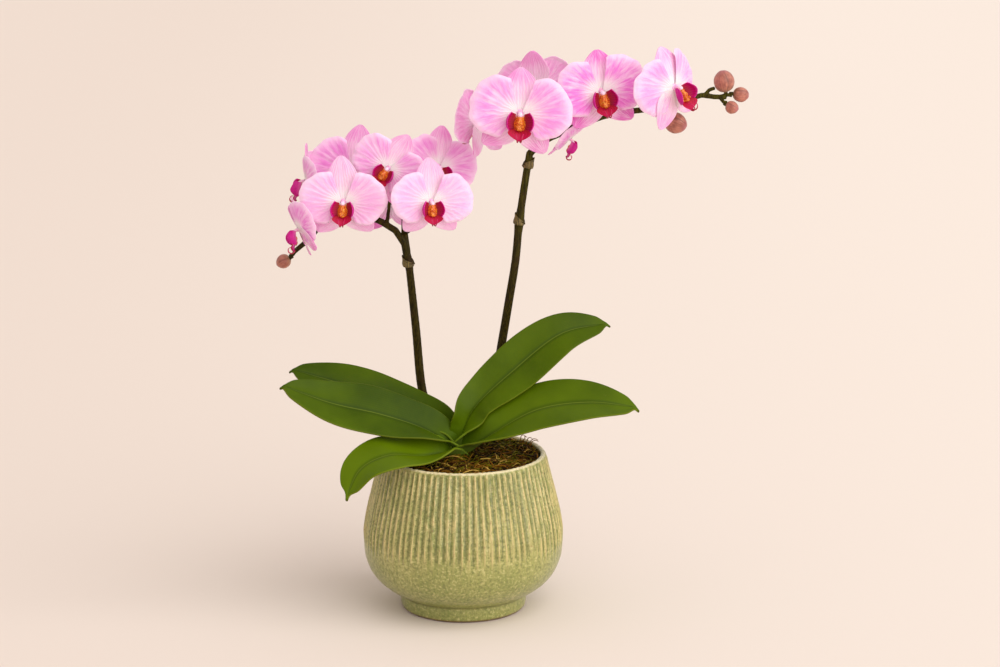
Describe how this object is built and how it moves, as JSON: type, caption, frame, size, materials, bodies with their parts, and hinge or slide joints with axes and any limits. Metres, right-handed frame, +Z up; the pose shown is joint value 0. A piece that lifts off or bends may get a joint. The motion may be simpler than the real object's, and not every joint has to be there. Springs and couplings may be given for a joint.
{
  "type": "potted orchid",
  "caption": "Potted moth orchid: arching flower spikes with pink blooms and buds over broad strap leaves, in a rounded fluted glazed pot.",
  "frame": {"origin": "centre of the pot's foot, on the surface the pot stands on", "axes": "+Z up; -Y towards the side that most blooms face; +X towards the side that the taller spike arches to"},
  "size_m": [0.3728, 0.16, 0.4562],
  "materials": {
    "glaze": "glossy mottled green glaze over vertical flutes",
    "bark": "matt shredded bark",
    "moss": "matt dry moss strands",
    "sheath": "dry, slightly rough",
    "leaf": "smooth, semi-gloss",
    "stem": "smooth, semi-matt",
    "petal": "soft satin with fine veins",
    "sepal": "soft satin with fine veins",
    "lip": "waxy satin",
    "bud": "smooth satin"
  },
  "bodies": {
    "root": {"bud_left_tip": "bud", "bud_right_end": "bud", "bud_right_high": "bud", "bud_right_low": "bud", "bud_right_tip": "bud", "crown": "sheath", "flower_left_back_lip": "lip", "flower_left_back_petals": "petal", "flower_left_back_sepals": "sepal", "flower_left_facing_lip": "lip", "flower_left_facing_petals": "petal", "flower_left_facing_sepals": "sepal", "flower_left_front_lip": "lip", "flower_left_front_petals": "petal", "flower_left_front_sepals": "sepal", "flower_left_hidden_lip": "lip", "flower_left_hidden_petals": "petal", "flower_left_hidden_sepals": "sepal", "flower_left_low_lip": "lip", "flower_left_low_petals": "petal", "flower_left_low_sepals": "sepal", "flower_left_middle_lip": "lip", "flower_left_middle_petals": "petal", "flower_left_middle_sepals": "sepal", "flower_left_outer_lip": "lip", "flower_left_outer_petals": "petal", "flower_left_outer_sepals": "sepal", "flower_left_upper_lip": "lip", "flower_left_upper_petals": "petal", "flower_left_upper_sepals": "sepal", "flower_right_back_lip": "lip", "flower_right_back_petals": "petal", "flower_right_back_sepals": "sepal", "flower_right_front_lip": "lip", "flower_right_front_petals": "petal", "flower_right_front_sepals": "sepal", "flower_right_low_lip": "lip", "flower_right_low_petals": "petal", "flower_right_low_sepals": "sepal", "flower_right_middle_lip": "lip", "flower_right_middle_petals": "petal", "flower_right_middle_sepals": "sepal", "flower_right_outer_lip": "lip", "flower_right_outer_petals": "petal", "flower_right_outer_sepals": "sepal", "flower_right_side_lip": "lip", "flower_right_side_petals": "petal", "flower_right_side_sepals": "sepal", "leaf_left_back": "leaf", "leaf_left_front": "leaf", "leaf_left_low": "leaf", "leaf_right_lower": "leaf", "leaf_right_upper": "leaf", "moss_topping": "moss", "pot": "glaze", "potting_medium": "bark", "spike_left": "stem", "spike_right": "stem"}
  },
  "joints": []
}
